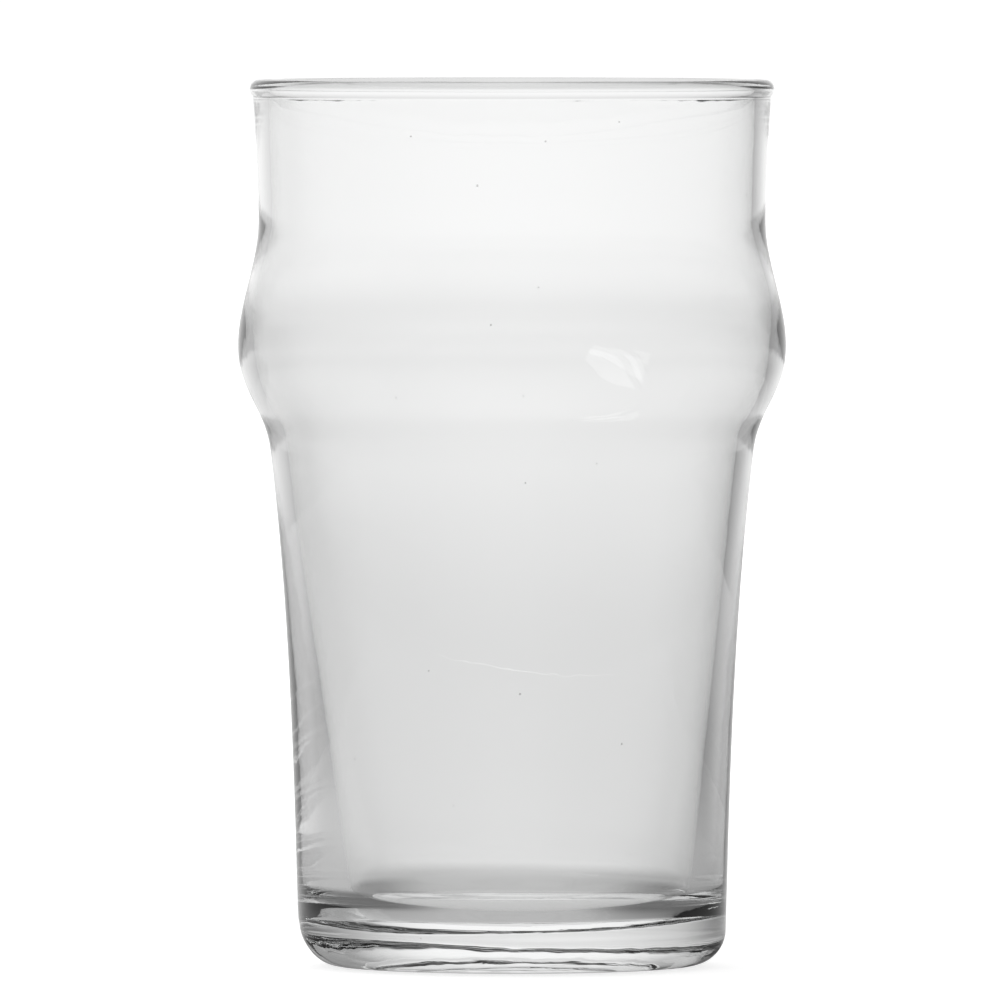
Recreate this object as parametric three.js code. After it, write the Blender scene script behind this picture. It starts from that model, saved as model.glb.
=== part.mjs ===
// A pint beer glass of the nonic kind: a tapered body with a bulge near the top that keeps
// stacked glasses apart and helps the grip. It is pressed and blown from one piece of glass.
// Lengths are in millimetres, +Z points up, and the glass stands on z = 0 with its axis on Z.
import * as THREE from "three";

// Overall sizes.
const height = 147;
const rimDiameter = 87;
const baseDiameter = 71;

// Rim: the top edge is melted into a round bead, a little wider than the wall below it.
const beadHeight = 3.2;
const beadStandOut = 0.4;

// Outside shape. Drops are measured down from the rim, and offsets from the radius named with them.
const waistDrop = 23.5;
const waistInset = 1.4; // from the rim's radius in to the waist
const bulgeDrop = 44;
const bulgeStandOut = 2; // from the rim's radius out to the crest of the bulge
const shoulderDrop = 58.2;
const shoulderInset = 5; // from the crest in to the tip of the inside corner under the bulge
const shoulderBlend = 3.4; // how far the corner's rounding reaches along each side
const footRadius = 6;

// Inside shape.
const innerWaistDrop = 21;
const innerBulgeDrop = 41.5;
const innerShoulderDrop = 61.8;
const rimWall = 2.6;
const waistWall = 2.3;
const bulgeWall = 2.2;
const shoulderWall = 3.2;
const heelWall = 6.8;
const heelWidth = 3.1; // from the wall in to the floor's edge
const heelHeight = 5.2; // from the floor's edge up to the straight wall
const floorThickness = 6.1; // at its centre
const floorDish = 2.4; // how much higher the floor lies at its edge

// Underside: a flat ring that the glass stands on, round a shallow hollow.
const standingRingWidth = 3;
const hollowDepth = 1;

// How much the wall leans out as it rises, as the tangent of its angle to the axis.
const footLean = 0.028;
const taperLean = 0.12; // just below the shoulder's corner
const undersideLean = 0.52; // just above it
const rimLean = 0.07;
const heelLean = 0.85; // where the heel meets the floor's edge

// How far a curve follows its lean at each end, as a share of the rise to its other end.
const evenReach = 1 / 3;
const undersideReach = 0.45; // outside, from the corner up under the bulge
const underBulgeReach = 0.5; // inside, from the crest of the bulge down
const intoTaperReach = 0.36; // inside, up from the top of the taper
const heelReach = 0.46;
const hollowReach = 0.75; // how far the hollow stays level, as a share of its radius

// Facets.
const segmentsAround = 48;
const stepsPerCurve = 4;

const rimRadius = rimDiameter / 2;
const baseRadius = baseDiameter / 2;
const waistRadius = rimRadius - waistInset;
const bulgeRadius = rimRadius + bulgeStandOut;
const shoulderRadius = bulgeRadius - shoulderInset;
const wallRadiusAtRim = rimRadius - beadStandOut;

// A point on the outline, with how much the outline leans outwards there as it rises.
function station(radius, level, lean = 0) {
  return { radius, level, lean };
}

// Carries the outline from one station to the next in one smooth curve. The reaches say how far
// the curve follows each station's lean, as a share of the rise between them.
function runTo(outline, from, to, fromReach = evenReach, toReach = evenReach) {
  const rise = to.level - from.level;
  outline.bezierCurveTo(
    from.radius + from.lean * rise * fromReach,
    from.level + rise * fromReach,
    to.radius - to.lean * rise * toReach,
    to.level - rise * toReach,
    to.radius,
    to.level,
  );
}

function addUnderside(outline) {
  const ringOuterRadius = baseRadius - footRadius;
  const ringInnerRadius = ringOuterRadius - standingRingWidth;
  outline.moveTo(0, hollowDepth);
  outline.quadraticCurveTo(ringInnerRadius * hollowReach, hollowDepth, ringInnerRadius, 0);
  outline.lineTo(ringOuterRadius, 0);
  outline.absarc(ringOuterRadius, footRadius, footRadius, -Math.PI / 2, 0, false);
}

function addOutside(outline) {
  const foot = station(baseRadius, footRadius, footLean);
  const cornerLevel = height - shoulderDrop;
  const belowCorner = station(
    shoulderRadius - taperLean * shoulderBlend,
    cornerLevel - shoulderBlend,
    taperLean,
  );
  const aboveCorner = station(
    shoulderRadius + undersideLean * shoulderBlend,
    cornerLevel + shoulderBlend,
    undersideLean,
  );
  const crest = station(bulgeRadius, height - bulgeDrop);
  const waist = station(waistRadius, height - waistDrop);
  const underBead = station(wallRadiusAtRim, beadJoinLevel(), rimLean);
  runTo(outline, foot, belowCorner);
  outline.quadraticCurveTo(
    shoulderRadius,
    cornerLevel,
    aboveCorner.radius,
    aboveCorner.level,
  );
  runTo(outline, aboveCorner, crest, undersideReach);
  runTo(outline, crest, waist);
  runTo(outline, waist, underBead);
}

// The bead's section is an ellipse that stands out past the wall and runs flush into the inside.
const beadHalfWidth = (rimWall + beadStandOut) / 2;
const beadCentreRadius = rimRadius - beadHalfWidth;
const beadCentreLevel = height - beadHeight / 2;
const beadJoinAngle = -Math.acos((beadHalfWidth - beadStandOut) / beadHalfWidth);

function beadJoinLevel() {
  return beadCentreLevel + (beadHeight / 2) * Math.sin(beadJoinAngle);
}

function addBead(outline) {
  outline.absellipse(
    beadCentreRadius,
    beadCentreLevel,
    beadHalfWidth,
    beadHeight / 2,
    beadJoinAngle,
    Math.PI,
    false,
    0,
  );
}

function addInside(outline) {
  const heelRadius = baseRadius - heelWall;
  const floorEdgeLevel = floorThickness + floorDish;
  const heelTop = floorEdgeLevel + heelHeight;
  const lowerRadius = shoulderRadius - shoulderWall;
  const lowerLevel = height - innerShoulderDrop;
  const innerTaperLean = (lowerRadius - heelRadius) / (lowerLevel - heelTop);
  const rim = station(wallRadiusAtRim - rimWall, beadCentreLevel);
  const waist = station(waistRadius - waistWall, height - innerWaistDrop);
  const crest = station(bulgeRadius - bulgeWall, height - innerBulgeDrop);
  const taperTop = station(lowerRadius, lowerLevel, innerTaperLean);
  runTo(outline, rim, waist);
  runTo(outline, waist, crest);
  runTo(outline, crest, taperTop, underBulgeReach, intoTaperReach);
  const heel = station(heelRadius, heelTop, innerTaperLean);
  const floorEdge = station(heelRadius - heelWidth, floorEdgeLevel, heelLean);
  outline.lineTo(heel.radius, heel.level);
  runTo(outline, heel, floorEdge, heelReach, heelReach);
  outline.quadraticCurveTo(floorEdge.radius / 2, floorThickness, 0, floorThickness);
}

function glassOutline() {
  const outline = new THREE.Path();
  addUnderside(outline);
  addOutside(outline);
  addBead(outline);
  addInside(outline);
  return outline.getPoints(stepsPerCurve);
}

function makeGlassBody() {
  const shape = new THREE.LatheGeometry(glassOutline(), segmentsAround);
  shape.rotateX(Math.PI / 2);
  const clearGlass = new THREE.MeshStandardMaterial({
    color: 0xeef2f2,
    roughness: 0.03,
    metalness: 0,
    transparent: true,
    opacity: 0.35,
  });
  const body = new THREE.Mesh(shape, clearGlass);
  body.name = "glass_body";
  return body;
}

const pintGlass = new THREE.Group();
pintGlass.add(makeGlassBody());

export default pintGlass;
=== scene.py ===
"""A clear pint glass with a grip bulge, on a pale floor in a soft light tent.

Lengths are in metres. The glass stands on z = 0 with its axis on Z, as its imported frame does.
"""

import math

import bpy
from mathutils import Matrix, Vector
from mathutils.geometry import interpolate_bezier


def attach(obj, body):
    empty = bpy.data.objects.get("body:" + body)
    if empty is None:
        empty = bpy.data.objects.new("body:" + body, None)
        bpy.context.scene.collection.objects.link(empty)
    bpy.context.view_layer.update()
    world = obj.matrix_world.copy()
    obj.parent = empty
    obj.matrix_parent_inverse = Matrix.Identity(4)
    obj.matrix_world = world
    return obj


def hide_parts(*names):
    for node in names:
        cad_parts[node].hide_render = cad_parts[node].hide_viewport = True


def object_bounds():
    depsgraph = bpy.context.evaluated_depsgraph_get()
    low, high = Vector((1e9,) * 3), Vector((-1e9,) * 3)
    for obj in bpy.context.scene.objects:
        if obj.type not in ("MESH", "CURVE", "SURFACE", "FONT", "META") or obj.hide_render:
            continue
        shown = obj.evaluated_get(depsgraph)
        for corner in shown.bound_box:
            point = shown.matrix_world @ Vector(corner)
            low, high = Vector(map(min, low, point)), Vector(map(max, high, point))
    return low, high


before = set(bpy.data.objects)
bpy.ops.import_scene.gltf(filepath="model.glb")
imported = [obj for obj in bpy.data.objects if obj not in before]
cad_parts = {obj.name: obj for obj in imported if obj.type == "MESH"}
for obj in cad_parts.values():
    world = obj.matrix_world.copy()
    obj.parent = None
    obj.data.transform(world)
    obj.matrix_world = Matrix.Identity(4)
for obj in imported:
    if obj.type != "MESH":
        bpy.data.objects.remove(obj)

bl_info = {
    "name": "Pint Glass",
    "version": (1, 0, 0),
    "blender": (4, 5, 0),
    "location": "3D View > Sidebar > Glass",
    "description": "Makes a clear pint glass and the soft light tent it stands in",
    "category": "Object",
}

NODE = "glass_body"
BODY = "root"
CAD_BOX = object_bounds()
HEIGHT = CAD_BOX[1].z
BULGE_RADIUS = CAD_BOX[1].x
WAIST_INSET = 0.0014


# ---------------------------------------------------------------------------------------------
# Node trees as Python expressions


class Wire:
    """One output of a node. Arithmetic on wires adds the Math nodes that work it out."""

    def __init__(self, tree, socket):
        self.tree = tree
        self.socket = socket

    def maths(self, operation, *operands):
        return self.tree.add("ShaderNodeMath", {"operation": operation}, *operands)

    def __add__(self, other):
        return self.maths("ADD", self, other)

    def __radd__(self, other):
        return self.maths("ADD", other, self)

    def __sub__(self, other):
        return self.maths("SUBTRACT", self, other)

    def __rsub__(self, other):
        return self.maths("SUBTRACT", other, self)

    def __mul__(self, other):
        return self.maths("MULTIPLY", self, other)

    def __rmul__(self, other):
        return self.maths("MULTIPLY", other, self)

    def __truediv__(self, other):
        return self.maths("DIVIDE", self, other)

    def __rtruediv__(self, other):
        return self.maths("DIVIDE", other, self)

    def __pow__(self, other):
        return self.maths("POWER", self, other)

    def __neg__(self):
        return self.maths("MULTIPLY", self, -1.0)

    def __gt__(self, other):
        return self.maths("GREATER_THAN", self, other)

    def __lt__(self, other):
        return self.maths("LESS_THAN", self, other)

    def ramp(self, low, high):
        """0 below low, 1 above high, and a smooth rise between; falls instead if low is above high."""
        settings = {"interpolation_type": "SMOOTHSTEP"}
        if low > high:
            return self.tree.add("ShaderNodeMapRange", settings, self, high, low, 1.0, 0.0)
        return self.tree.add("ShaderNodeMapRange", settings, self, low, high, 0.0, 1.0)


class Tree:
    """A node tree that is built by expressions."""

    def __init__(self, nodes_and_links):
        self.tree = nodes_and_links

    def place(self, kind, settings=None, *values, **named):
        """Adds a node: its settings first, then the values or wires of its sockets, in order or by name."""
        node = self.tree.nodes.new(kind)
        for name, value in (settings or {}).items():
            setattr(node, name, value)
        for slot, value in zip(node.inputs, values, strict=False):
            self.feed(slot, value)
        for name, value in named.items():
            self.feed(node.inputs[name.replace("_", " ")], value)
        return node

    def feed(self, slot, value):
        if isinstance(value, Wire):
            self.tree.links.new(value.socket, slot)
        elif value is not None:
            slot.default_value = value

    def add(self, kind, settings=None, *values, **named):
        """The first shown output of a node made by place()."""
        node = self.place(kind, settings, *values, **named)
        return Wire(self, next(s for s in node.outputs if s.enabled))

    def out(self, node, name):
        return Wire(self, node.outputs[name])

    def split(self, vector):
        """The three parts of a vector, as wires."""
        node = self.place("ShaderNodeSeparateXYZ", None, vector)
        return [Wire(self, s) for s in node.outputs]

    def vector(self, x, y, z):
        return self.add("ShaderNodeCombineXYZ", None, x, y, z)

    def vector_maths(self, operation, a, b):
        return self.add("ShaderNodeVectorMath", {"operation": operation}, a, b)

    def scaled(self, vector, by):
        node = self.place("ShaderNodeVectorMath", {"operation": "SCALE"}, vector, Scale=by)
        return Wire(self, node.outputs[0])


# ---------------------------------------------------------------------------------------------
# Sizes


class GlassSizes(bpy.types.PropertyGroup):
    """The glass's own sizes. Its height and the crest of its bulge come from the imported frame."""

    rim_diameter: bpy.props.FloatProperty(
        name="Rim diameter", description="Across the outside of the rim's bead",
        default=0.087, unit="LENGTH")
    base_diameter: bpy.props.FloatProperty(
        name="Base diameter", description="Across the outside of the wall, just above the foot",
        default=0.071, unit="LENGTH")
    floor_thickness: bpy.props.FloatProperty(
        name="Floor thickness", description="Glass between the table and the middle of the inside floor",
        default=0.0061, unit="LENGTH")
    rim_wall: bpy.props.FloatProperty(
        name="Wall under the rim", description="Thickness of the wall just below the bead",
        default=0.0026, unit="LENGTH")
    heel_wall: bpy.props.FloatProperty(
        name="Wall at the heel", description="Thickness of the wall where it meets the floor",
        default=0.0068, unit="LENGTH")
    foot_radius: bpy.props.FloatProperty(
        name="Foot radius", description="Rounding between the wall and the underside",
        default=0.006, unit="LENGTH")
    hollow_depth: bpy.props.FloatProperty(
        name="Hollow depth", description="How far the underside is hollowed at its middle",
        default=0.001, unit="LENGTH")
    bead_height: bpy.props.FloatProperty(
        name="Bead height", description="How tall the rim's bead is",
        default=0.0032, unit="LENGTH")
    floor_dish: bpy.props.FloatProperty(
        name="Floor dish", description="How far the inside floor drops from its edge to its middle",
        default=0.0024, unit="LENGTH")
    inside_lean: bpy.props.FloatProperty(
        name="Inside's lean", description="How far the inside's bottom lies off the axis",
        default=0.0011, unit="LENGTH")
    steps_around: bpy.props.IntProperty(
        name="Steps around", description="How many flats the round glass is made of",
        default=248, min=48)


class TentSizes(bpy.types.PropertyGroup):
    """The light tent and the camera."""

    radius: bpy.props.FloatProperty(
        name="Tent radius", description="From the glass's axis to the tent's wall",
        default=0.45, unit="LENGTH")
    camera_distance: bpy.props.FloatProperty(
        name="Camera distance", description="From the glass's axis to the lens, along the floor",
        default=3.35, unit="LENGTH")
    camera_height: bpy.props.FloatProperty(
        name="Camera height", description="Height of the lens above the floor",
        default=0.176, unit="LENGTH")
    frame_width: bpy.props.FloatProperty(
        name="Frame width", description="How much the picture takes in at the glass's axis",
        default=0.1659, unit="LENGTH")


# ---------------------------------------------------------------------------------------------
# The glass's outline


class Outline:
    """A chain of points in the plane of the axis: x is the radius, y the level and step the longest gap."""

    def __init__(self, start, step):
        self.points = [Vector((*start, 0))]
        self.step = step

    def end(self):
        return self.points[-1].xy

    def curve(self, first, second, end):
        """A cubic curve on from the last point."""
        knots = [self.end(), Vector(first), Vector(second), Vector(end)]
        length = sum((b - a).length for a, b in zip(knots, knots[1:], strict=False))
        steps = max(2, math.ceil(length / self.step))
        start, first, second, end = (Vector((*knot, 0)) for knot in knots)
        self.points += interpolate_bezier(start, first, second, end, steps + 1)[1:]

    def line(self, end):
        start, end = self.end(), Vector(end)
        self.curve(start.lerp(end, 1 / 3), start.lerp(end, 2 / 3), end)

    def corner(self, tip, end):
        """Rounds the corner whose tip is given."""
        start, tip, end = self.end(), Vector(tip), Vector(end)
        self.curve(start.lerp(tip, 2 / 3), end.lerp(tip, 2 / 3), end)

    def arc(self, ellipse, start_angle, end_angle):
        """A stretch of an ellipse, from where the outline has come to."""
        turn = abs(end_angle - start_angle)
        steps = math.ceil(turn * max(ellipse.half_width, ellipse.half_height) / self.step)
        for index in range(1, steps + 1):
            angle = start_angle + (end_angle - start_angle) * index / steps
            self.points.append(Vector((*ellipse.point(angle), 0)))

    def rise(self, end, start_lean=0.0, end_lean=0.0, start_reach=1 / 3, end_reach=1 / 3):
        """Rises or falls to end. A lean is the tangent of the outline's angle to the axis at that end, and a
        reach is how far the outline follows it, as a share of the climb."""
        start, end = self.end(), Vector(end)
        climb = end.y - start.y
        self.curve(
            start + Vector((start_lean, 1)) * climb * start_reach,
            end - Vector((end_lean, 1)) * climb * end_reach,
            end,
        )

    def curve_object(self, name):
        """The outline as a curve, standing in the XY plane, as a profile for a revolving rail."""
        data = bpy.data.curves.new(name, "CURVE")
        data.dimensions = "3D"
        spline = data.splines.new("POLY")
        spline.points.add(len(self.points) - 1)
        for point, place in zip(spline.points, self.points, strict=True):
            point.co = (*place, 1)
        made = bpy.data.objects.new(name, data)
        bpy.context.scene.collection.objects.link(made)
        return made


class Ellipse:
    """An ellipse in the outline's plane. Its angles run from straight outwards, through straight up."""

    def __init__(self, centre, half_width, half_height):
        self.centre = Vector(centre)
        self.half_width = half_width
        self.half_height = half_height

    def point(self, angle):
        return self.centre + Vector((self.half_width * math.cos(angle), self.half_height * math.sin(angle)))

    def tangent(self, angle):
        return Vector((-self.half_width * math.sin(angle), self.half_height * math.cos(angle))).normalized()


def add_underside(line, sizes):
    """The hollow, the ring that the glass stands on, and the rounded foot."""
    ring_width = 0.003
    foot = sizes.foot_radius
    depth = sizes.hollow_depth
    ring_outer = sizes.base_diameter / 2 - foot
    ring_inner = ring_outer - ring_width
    line.curve((ring_inner * 0.45, depth), (ring_inner * 0.7, depth * 0.55), (ring_inner, 0))
    line.line((ring_outer, 0))
    line.step = 0.0004
    line.arc(Ellipse((ring_outer, foot), foot, foot), -math.pi / 2, 0)


def add_outside(line, sizes):
    """The tapered wall, the corner under the bulge, the bulge and the waist."""
    foot_lean, taper_lean, underside_lean = 0.028, 0.12, 0.52
    underside_reach = 0.45
    shoulder = BULGE_RADIUS - 0.005
    corner_level = HEIGHT - 0.0582
    crest_level = HEIGHT - 0.044
    waist_level = HEIGHT - 0.0235
    blend = 0.0034  # how far the corner's rounding reaches along each side
    line.step = 0.002
    line.rise((shoulder - taper_lean * blend, corner_level - blend), foot_lean, taper_lean)
    line.step = 0.0005
    line.corner((shoulder, corner_level), (shoulder + underside_lean * blend, corner_level + blend))
    line.step = 0.0013
    line.rise((BULGE_RADIUS, crest_level), underside_lean, 0, underside_reach)
    line.rise((sizes.rim_diameter / 2 - WAIST_INSET, waist_level))


def add_bead(line, sizes):
    """The melted rim: a bead that stands out past the wall, with a small hollow crease under it."""
    rim = sizes.rim_diameter / 2
    rim_lean = 0.07
    stand_out, crease = 0.00056, 0.0003
    half_height = sizes.bead_height / 2
    half_width = (sizes.rim_wall + stand_out) / 2
    bead = Ellipse((rim - half_width, HEIGHT - half_height), half_width, half_height)
    join = -math.acos((half_width - stand_out) / half_width)
    leave = join + 0.03
    onto_bead = bead.point(leave)
    line.rise((rim - stand_out, bead.point(join).y - crease), 0, rim_lean)
    line.step = 0.0001
    line.curve(
        line.end() + Vector((rim_lean, 1)) * crease * 0.75,
        onto_bead - bead.tangent(leave) * crease * 0.35,
        onto_bead)
    line.step = 0.00018
    line.arc(bead, leave, math.pi)


def add_inside(line, sizes):
    """The cavity's wall, its long heel curve, the rounded edge of the floor, and the dished floor."""
    waist_wall, bulge_wall = 0.0023, 0.0022
    waist_level = HEIGHT - 0.021
    crest_level = HEIGHT - 0.0415
    taper_top = Vector((BULGE_RADIUS - 0.0082, HEIGHT - 0.0618))
    under_bulge_reach, into_taper_reach = 0.5, 0.36
    heel_width, heel_height = 0.0031, 0.0052
    heel_lean = 0.85  # where the heel meets the floor's edge
    heel_reach = 0.0024
    edge_rounding = 0.0005
    heel = sizes.base_diameter / 2 - sizes.heel_wall
    edge = Vector((heel - heel_width, sizes.floor_thickness + sizes.floor_dish))
    heel_top = edge.y + heel_height
    lean = (taper_top.x - heel) / (taper_top.y - heel_top)
    line.step = 0.0013
    line.rise((sizes.rim_diameter / 2 - WAIST_INSET - waist_wall, waist_level))
    line.rise((BULGE_RADIUS - bulge_wall, crest_level))
    line.rise(taper_top, 0, lean, under_bulge_reach, into_taper_reach)
    line.step = 0.0022
    line.line((heel, heel_top))
    line.step = 0.0004
    down_heel = Vector((heel_lean, 1)).normalized()
    across_floor = Vector((1, 2 * sizes.floor_dish / edge.x)).normalized()
    onto_edge = edge + down_heel * edge_rounding
    line.curve(
        (heel - lean * heel_reach, heel_top - heel_reach),
        onto_edge + down_heel * heel_reach,
        onto_edge)
    line.step = 0.0001
    line.corner(edge, edge - across_floor * edge_rounding)
    line.step = 0.00045
    bowl = line.end().x / 3
    middle = sizes.floor_thickness
    line.curve(line.end() - across_floor / across_floor.x * bowl, (bowl, middle), (0, middle))


def glass_outline(sizes):
    """The section of the glass, from the middle of its underside, up the outside and down the inside."""
    line = Outline((0, sizes.hollow_depth), 0.0006)
    add_underside(line, sizes)
    add_outside(line, sizes)
    add_bead(line, sizes)
    add_inside(line, sizes)
    return line


# ---------------------------------------------------------------------------------------------
# Turning the outline into the glass


def turning_tree():
    """Geometry nodes that turn an outline round the Z axis and give the glass its small unevenness."""
    group = bpy.data.node_groups.new("Turned glass", "GeometryNodeTree")
    face = group.interface
    face.new_socket("Geometry", in_out="INPUT", socket_type="NodeSocketGeometry")
    inputs = (
        ("Steps around", "NodeSocketInt", 256),
        ("Rail radius", "NodeSocketFloat", 0.05),
        ("Lean", "NodeSocketFloat", 0.0),
        ("Squeeze", "NodeSocketFloat", 0.0),
        ("Ripple", "NodeSocketFloat", 0.0),
        ("Heel ripple", "NodeSocketFloat", 0.0),
        ("Swirl", "NodeSocketFloat", 0.0),
        ("Wrinkle", "NodeSocketFloat", 0.0),
        ("Seed", "NodeSocketFloat", 3.0),
        ("Material", "NodeSocketMaterial", None),
    )
    for name, kind, value in inputs:
        socket = face.new_socket(name, in_out="INPUT", socket_type=kind)
        if value is not None:
            socket.default_value = value
    face.new_socket("Geometry", in_out="OUTPUT", socket_type="NodeSocketGeometry")

    tree = Tree(group)
    given = group.nodes.new("NodeGroupInput")
    result = group.nodes.new("NodeGroupOutput")
    wires = {name: Wire(tree, given.outputs[name]) for name, kind, value in inputs}

    rail = tree.place("GeometryNodeCurvePrimitiveCircle", {"mode": "RADIUS"})
    tree.feed(rail.inputs["Resolution"], wires["Steps around"])
    tree.feed(rail.inputs["Radius"], wires["Rail radius"])
    upright = tree.add("GeometryNodeSetCurveNormal", {"mode": "Z_UP"}, Wire(tree, rail.outputs["Curve"]))
    settled = tree.add(
        "GeometryNodeTransform", None, Wire(tree, given.outputs["Geometry"]),
        Translation=tree.vector(-wires["Rail radius"], 0.0, 0.0), Rotation=(math.pi, 0.0, 0.0))
    turned_outline = tree.add("GeometryNodeCurveToMesh", None, Curve=upright, Profile_Curve=settled)
    outward_facing = tree.add("GeometryNodeFlipFaces", None, turned_outline)
    closed = tree.add("GeometryNodeMergeByDistance", None, outward_facing, Distance=0.000002)
    uneven = tree.add("GeometryNodeSetPosition", None, closed, Position=uneven_place(tree, wires))
    smooth = tree.add("GeometryNodeSetShadeSmooth", None, uneven, Shade_Smooth=True)
    real = tree.add("GeometryNodeRealizeInstances", None, smooth)
    painted = tree.add("GeometryNodeSetMaterial", None, real, Material=wires["Material"])
    group.links.new(painted.socket, result.inputs["Geometry"])
    return group


def uneven_place(tree, wires):
    """Where each point of the pressed glass really lies: flowed, rippled and chilled a little out of true."""
    place = tree.add("GeometryNodeInputPosition")
    normal = tree.add("GeometryNodeInputNormal")
    x, y, z = tree.split(place)
    facing_x, facing_y, facing_z = tree.split(normal)
    radius = (x * x + y * y + 1e-12) ** 0.5
    outward = (facing_x * x + facing_y * y) / radius
    cavity_wall = -outward > 0.3
    cavity_floor = (facing_z > 0.3) * (z < 0.02)
    within = cavity_wall.maths("MAXIMUM", cavity_wall, cavity_floor)
    outside = 1.0 - within
    underneath = (-facing_z > 0.3) * z.ramp(0.006, 0.003)
    seed = tree.vector(wires["Seed"], 0.0, 0.0)

    def noise(stretch, detail=2.0):
        """Smooth noise about 0. Stretch is how many bumps there are to a metre along X, Y and Z."""
        where = tree.vector_maths("ADD", tree.vector_maths("MULTIPLY", place, stretch), seed)
        made = tree.place(
            "ShaderNodeTexNoise", {"noise_dimensions": "3D"}, Vector=where, Scale=1.0, Detail=detail)
        return Wire(tree, made.outputs["Fac"]) - 0.5

    # Flow bands and broad waves all over, and closer ones round the heel.
    waviness = noise((60.0, 60.0, 60.0)) + noise((4.0, 4.0, 110.0)) * 0.6
    heel_zone = within * z.ramp(0.016, 0.011) * radius.ramp(0.022, 0.0245)
    heel_ripple = noise((25.0, 25.0, 900.0)) * heel_zone

    # Rings in the floor round the place where the gob of glass landed, a little off the axis.
    from_gob_x = x + 0.005
    from_gob_y = y + 0.003
    from_gob = (from_gob_x * from_gob_x + from_gob_y * from_gob_y + 1e-12) ** 0.5
    swirl_at = tree.vector(from_gob * 330.0 + x * 40.0, y * 60.0, wires["Seed"])
    swirl_noise = tree.place(
        "ShaderNodeTexNoise", {"noise_dimensions": "3D"}, Vector=swirl_at, Scale=1.0, Detail=1.0)
    swirl = (Wire(tree, swirl_noise.outputs["Fac"]) - 0.5) * cavity_floor * radius.ramp(0.025, 0.022)

    # Chill wrinkles under the base, in patches, and a crackled patch low on one side.
    patches = (noise((45.0, 45.0, 45.0)) + 0.5).ramp(0.4, 0.65)
    wrinkle = noise((150.0, 700.0, 300.0), 3.0) * underneath * (0.25 + 0.75 * patches)
    crackle = noise((800.0, 800.0, 800.0), 2.0) * outside * z.ramp(0.009, 0.005) * x.ramp(0.018, 0.03)
    raised = (
        waviness * wires["Ripple"] + heel_ripple * wires["Heel ripple"] + swirl * wires["Swirl"]
        + (wrinkle + crackle * 0.3) * wires["Wrinkle"])

    # The plunger stood a little askew, and the foot is drawn in a little on one side.
    plunger_pivot = 0.075
    above_bottom = 1.0 - z / plunger_pivot
    lean = wires["Lean"] * above_bottom.maths("MAXIMUM", above_bottom, 0.0) * within
    base_radius = 0.0355
    low = z.ramp(0.009, 0.0)
    one_side = (x / radius).ramp(0.2, -1.0)
    squeeze = wires["Squeeze"] * low * outside * one_side * (radius / base_radius) ** 4.0
    pushed = tree.vector(lean - squeeze * x / radius, 0.0 - squeeze * y / radius, 0.0)
    moved = tree.vector_maths("ADD", place, tree.vector_maths("ADD", tree.scaled(normal, raised), pushed))
    return tree.vector_maths("MAXIMUM", moved, (-1.0, -1.0, 0.0))


def turned(outline_object, group, name, material, **values):
    """The mesh that the turning tree makes of an outline, as a plain mesh object."""
    modifier = outline_object.modifiers.new("Turning", "NODES")
    modifier.node_group = group
    values["Material"] = material
    for item in group.interface.items_tree:
        if item.in_out == "INPUT" and item.name in values:
            modifier[item.identifier] = values[item.name]
    graph = bpy.context.evaluated_depsgraph_get()
    mesh = bpy.data.meshes.new_from_object(outline_object.evaluated_get(graph), depsgraph=graph)
    outline = outline_object.data
    bpy.data.objects.remove(outline_object)
    bpy.data.curves.remove(outline)
    mesh.name = name
    made = bpy.data.objects.new(name, mesh)
    bpy.context.scene.collection.objects.link(made)
    return made


# ---------------------------------------------------------------------------------------------
# Materials


def new_material(name):
    material = bpy.data.materials.new(name)
    material.use_nodes = True
    material.node_tree.nodes.clear()
    return material, Tree(material.node_tree)


def clear_glass():
    """Clear soda-lime glass: fire-polished, with faint unevenness and a few specks."""
    material, tree = new_material("Clear soda-lime glass")
    place = tree.out(tree.place("ShaderNodeTexCoord"), "Object")
    clean, dust = (0.988, 0.99, 0.989, 1.0), (0.25, 0.25, 0.24, 1.0)
    specks_to_a_metre = 110.0

    def noise(scale, detail=2.0):
        made = tree.place("ShaderNodeTexNoise", None, Vector=place, Scale=scale, Detail=detail)
        return Wire(tree, made.outputs["Fac"])

    cells = tree.place(
        "ShaderNodeTexVoronoi", {"feature": "F1"}, Vector=place, Scale=specks_to_a_metre)
    speck = (Wire(tree, cells.outputs["Distance"]) * (0.7 + noise(400.0))).ramp(0.030, 0.018)
    colour = tree.place("ShaderNodeMix", {"data_type": "RGBA"})
    tree.feed(colour.inputs[0], speck * 0.8)
    colour.inputs[6].default_value = clean
    colour.inputs[7].default_value = dust
    polish = 0.004 + noise(120.0, 4.0).ramp(0.45, 0.75) * 0.02
    bump = tree.place("ShaderNodeBump", None, Height=noise(350.0, 1.0), Distance=0.000004)
    shader = tree.place(
        "ShaderNodeBsdfPrincipled", None,
        Base_Color=Wire(tree, colour.outputs[2]), Roughness=polish, IOR=1.52,
        Transmission_Weight=1.0, Normal=Wire(tree, bump.outputs["Normal"]))
    body = tree.place(
        "ShaderNodeVolumeAbsorption", None, Color=(0.91, 0.918, 0.915, 1.0), Density=4.0)
    tree.place(
        "ShaderNodeOutputMaterial", None,
        Surface=Wire(tree, shader.outputs[0]), Volume=Wire(tree, body.outputs[0]))
    return material


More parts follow.
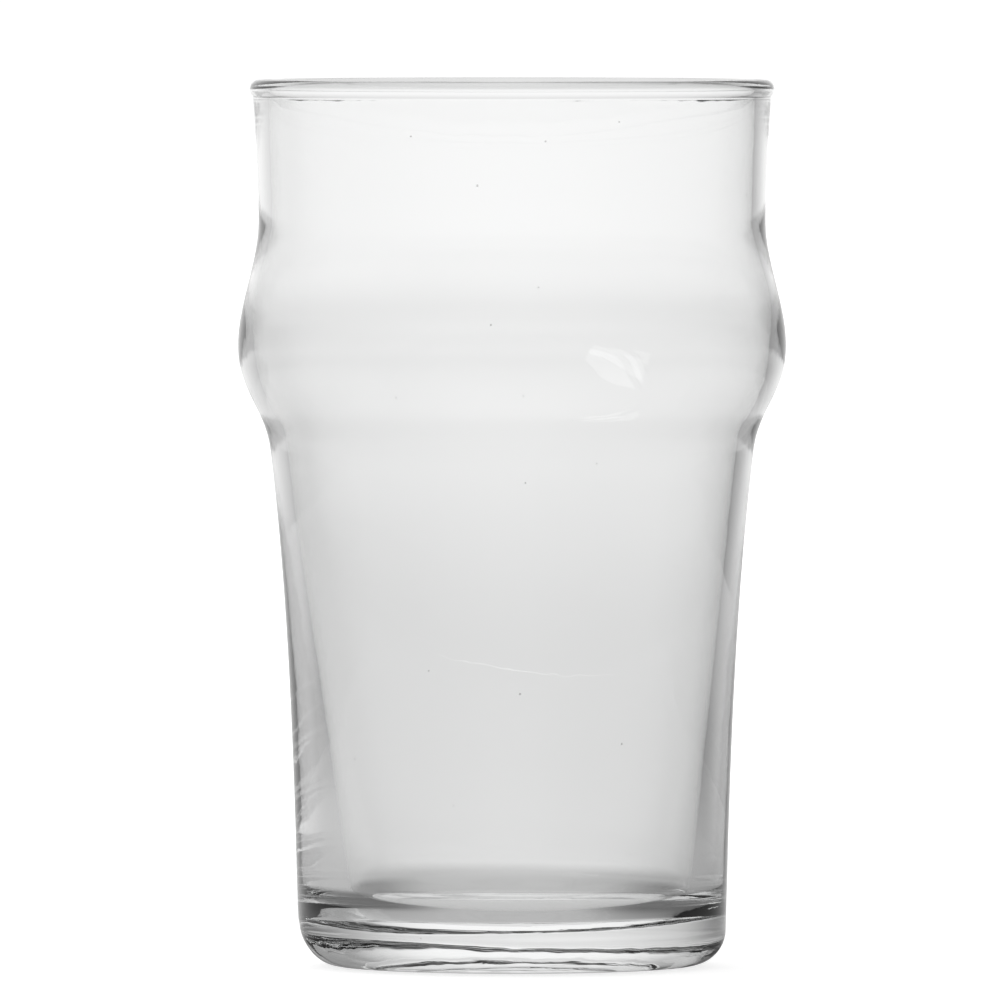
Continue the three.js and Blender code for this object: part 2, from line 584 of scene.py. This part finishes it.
class TentLight:
    """How bright the tent's cloth is in each direction round the glass, brightest behind it."""

    left_loss, right_loss, front_level = 0.33, 0.60, 0.72

    def __init__(self, tree):
        self.x, self.y, self.z = tree.split(tree.out(tree.place("ShaderNodeTexCoord"), "Object"))
        self.turn = self.x.maths("ARCTAN2", self.x, self.y)
        self.off_back = self.turn.maths("ABSOLUTE", self.turn)
        self.left = (-self.turn).ramp(0.15, 0.85)
        self.right = self.turn.ramp(0.15, 0.8)
        self.aside = self.off_back.ramp(0.6, 1.1)
        self.front = self.off_back.ramp(1.6, 2.9)

    def round_the_glass(self):
        """1 behind the glass, and less to either side and in front."""
        sides = 1.0 - self.left * self.left_loss - self.right * self.right_loss
        return sides + (self.front_level - sides) * self.front


def glowing(name, light_of):
    """A cloth that gives off light and reflects none. Light_of works out how much from a TentLight."""
    material, tree = new_material(name)
    shader = tree.place("ShaderNodeEmission", None, Color=light_of(TentLight(tree)), Strength=1.0)
    tree.place("ShaderNodeOutputMaterial", None, Surface=Wire(tree, shader.outputs[0]))
    return material


def wall_light(light):
    """The tent's wall: dim near the floor, most of all at the sides, and a little dimmer overhead."""
    climb = 0.80 + 0.21 * light.z.ramp(0.0, 0.13)
    overhead = 1.0 - 0.2 * light.z.ramp(0.17, 0.4)
    low_side = 1.0 - light.aside * light.z.ramp(0.10, 0.01) * 0.68
    return light.round_the_glass() * climb * overhead * low_side


def floor_light(light):
    """The tent's floor, a glowing cloth whose light and shade are painted: painted shade close to the glass,
    dimmer at the sides and in front, and a painted contact shadow beside the glass's foot.
    """
    radius = (light.x * light.x + light.y * light.y + 1e-12) ** 0.5
    across = light.x / radius
    beyond_glass = radius.ramp(0.03, 0.06)
    # Painted shade on the cloth close to the glass.
    spread = 0.80 - 0.31 * radius.ramp(0.11, 0.025)
    sides = (-across).ramp(0.1, 0.8) * 0.14 + across.ramp(0.1, 0.8) * 0.4
    far_sides = light.aside * radius.ramp(0.05, 0.2) * 0.5
    front = light.off_back.ramp(1.2, 2.4) * 0.25
    # Painted contact shadow on the cloth beside the glass's foot.
    at_foot = radius.ramp(0.026, 0.031) * radius.ramp(0.055, 0.04)
    foot_shade = at_foot * across.maths("ABSOLUTE", across).ramp(0.35, 0.85) * 0.72
    beyond = (1.0 - beyond_glass * sides) * (1.0 - far_sides) * (1.0 - beyond_glass * front)
    return spread * beyond * (1.0 - foot_shade)


def pale_floor():
    """A matt white table top, lit well up so that it reads as near white."""
    material, tree = new_material("Pale table top")
    matt = tree.place("ShaderNodeBsdfDiffuse", None, Color=(0.8, 0.8, 0.8, 1.0))
    glow = tree.place("ShaderNodeEmission", None, Strength=0.68)
    both = tree.place("ShaderNodeAddShader", None, Wire(tree, matt.outputs[0]), Wire(tree, glow.outputs[0]))
    tree.place("ShaderNodeOutputMaterial", None, Surface=Wire(tree, both.outputs[0]))
    return material


def flat_sheet(name, half_side, level, material):
    """A flat square sheet of the stage."""
    mesh = bpy.data.meshes.new(name)
    corners = [(-1, -1), (1, -1), (1, 1), (-1, 1)]
    mesh.from_pydata([(x * half_side, y * half_side, level) for x, y in corners], [], [(0, 1, 2, 3)])
    mesh.materials.append(material)
    made = bpy.data.objects.new(name, mesh)
    bpy.context.scene.collection.objects.link(made)
    return made


# ---------------------------------------------------------------------------------------------
# Operators


class GLASS_OT_body(bpy.types.Operator):
    """Make the glass in place of its plain CAD body"""

    bl_idname = "pint_glass.body"
    bl_label = "Make Glass"

    def execute(self, context):
        sizes = context.scene.glass_sizes
        outline = glass_outline(sizes).curve_object("glass_outline")
        glass = turned(
            outline, turning_tree(), "pint_glass", clear_glass(),
            **{"Steps around": sizes.steps_around, "Rail radius": 0.05,
               "Lean": sizes.inside_lean, "Squeeze": 0.0012,
               "Ripple": 0.00003, "Heel ripple": 0.00003, "Swirl": 0.00006, "Wrinkle": 0.00012, "Seed": 3.0})
        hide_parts(NODE)
        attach(glass, BODY)
        return {"FINISHED"}


class GLASS_OT_studio(bpy.types.Operator):
    """Make the floor, the light tent, the softbox and the camera"""

    bl_idname = "pint_glass.studio"
    bl_label = "Make Studio"

    def execute(self, context):
        scene = context.scene
        tent = scene.tent_sizes
        self.lay_floors(tent)
        self.hang_tent(tent)
        self.set_softbox(scene)
        self.set_world(scene)
        self.set_camera(scene, tent)
        return {"FINISHED"}

    def lay_floors(self, tent):
        """The pale floor that is seen past the glass, and the glowing cloth with painted light and shade that
        the glass itself shows.
        """
        table = flat_sheet("floor", 12.0, -0.0003, pale_floor())
        table.visible_transmission = False
        table.visible_glossy = False
        under_glass = flat_sheet("floor_cloth", tent.radius, -0.0002, glowing("Floor cloth glowing with painted shade", floor_light))
        under_glass.visible_camera = False
        under_glass.visible_diffuse = False
        under_glass.visible_shadow = False

    def hang_tent(self, tent):
        wall_top, dome_start, tent_top = 0.35, 0.6, 0.75
        wall = Outline((tent.radius, 0), 0.02)
        wall.line((tent.radius, wall_top))
        wall.curve((tent.radius, dome_start), (tent.radius * 0.6, tent_top), (0, tent_top))
        cloth = turned(
            wall.curve_object("tent_outline"), turning_tree(), "light_tent",
            glowing("Lit tent cloth", wall_light),
            **{"Steps around": 96, "Rail radius": 0.2})
        cloth.visible_camera = False

    def set_softbox(self, scene):
        """The small box that makes the soft highlight on the bulge."""
        lamp = bpy.data.lights.new("softbox", "AREA")
        lamp.shape = "RECTANGLE"
        lamp.size, lamp.size_y = 0.2, 0.045
        lamp.energy = 0.034
        softbox = bpy.data.objects.new("softbox", lamp)
        softbox.location = (-0.28, -0.155, 0.37)
        aim = Vector((0.018, 0.038, 0.084)) - softbox.location
        softbox.rotation_euler = aim.to_track_quat("-Z", "Y").to_euler()
        softbox.visible_camera = False
        scene.collection.objects.link(softbox)

    def set_world(self, scene):
        world = bpy.data.worlds.new("studio")
        world.use_nodes = True
        world.node_tree.nodes["Background"].inputs["Color"].default_value = (1, 1, 1, 1)
        world.node_tree.nodes["Background"].inputs["Strength"].default_value = 1.05
        scene.world = world
        scene.view_settings.view_transform = "Standard"
        scene.cycles.max_bounces = 24
        scene.cycles.transmission_bounces = 24
        scene.cycles.glossy_bounces = 12
        scene.cycles.caustics_refractive = True
        scene.cycles.caustics_reflective = True
        scene.cycles.use_denoising = True

    def set_camera(self, scene, tent):
        aside, aim_level = -0.002, 0.0772
        camera = bpy.data.cameras.new("camera")
        camera.sensor_width = 36.0
        camera.lens = camera.sensor_width * tent.camera_distance / tent.frame_width
        camera.clip_start, camera.clip_end = 0.1, 60.0
        eye = bpy.data.objects.new("camera", camera)
        eye.location = (aside, -tent.camera_distance, tent.camera_height)
        look = Vector((aside, 0, aim_level)) - eye.location
        eye.rotation_euler = look.to_track_quat("-Z", "Y").to_euler()
        scene.collection.objects.link(eye)
        scene.camera = eye


class GLASS_PT_panel(bpy.types.Panel):
    """Lists what makes the glass and its studio"""

    bl_label = "Pint Glass"
    bl_space_type = "VIEW_3D"
    bl_region_type = "UI"
    bl_category = "Glass"

    def draw(self, context):
        layout = self.layout
        for group in (context.scene.glass_sizes, context.scene.tent_sizes):
            for name in group.__annotations__:
                layout.prop(group, name)
        for operator in OPERATORS:
            layout.operator(operator.bl_idname)


OPERATORS = (GLASS_OT_body, GLASS_OT_studio)
CLASSES = (GlassSizes, TentSizes, *OPERATORS, GLASS_PT_panel)


def register():
    for kind in CLASSES:
        bpy.utils.register_class(kind)
    bpy.types.Scene.glass_sizes = bpy.props.PointerProperty(type=GlassSizes)
    bpy.types.Scene.tent_sizes = bpy.props.PointerProperty(type=TentSizes)


def unregister():
    del bpy.types.Scene.tent_sizes
    del bpy.types.Scene.glass_sizes
    for kind in reversed(CLASSES):
        bpy.utils.unregister_class(kind)


def main():
    register()
    bpy.ops.pint_glass.body()
    bpy.ops.pint_glass.studio()


if __name__ == "__main__":
    main()
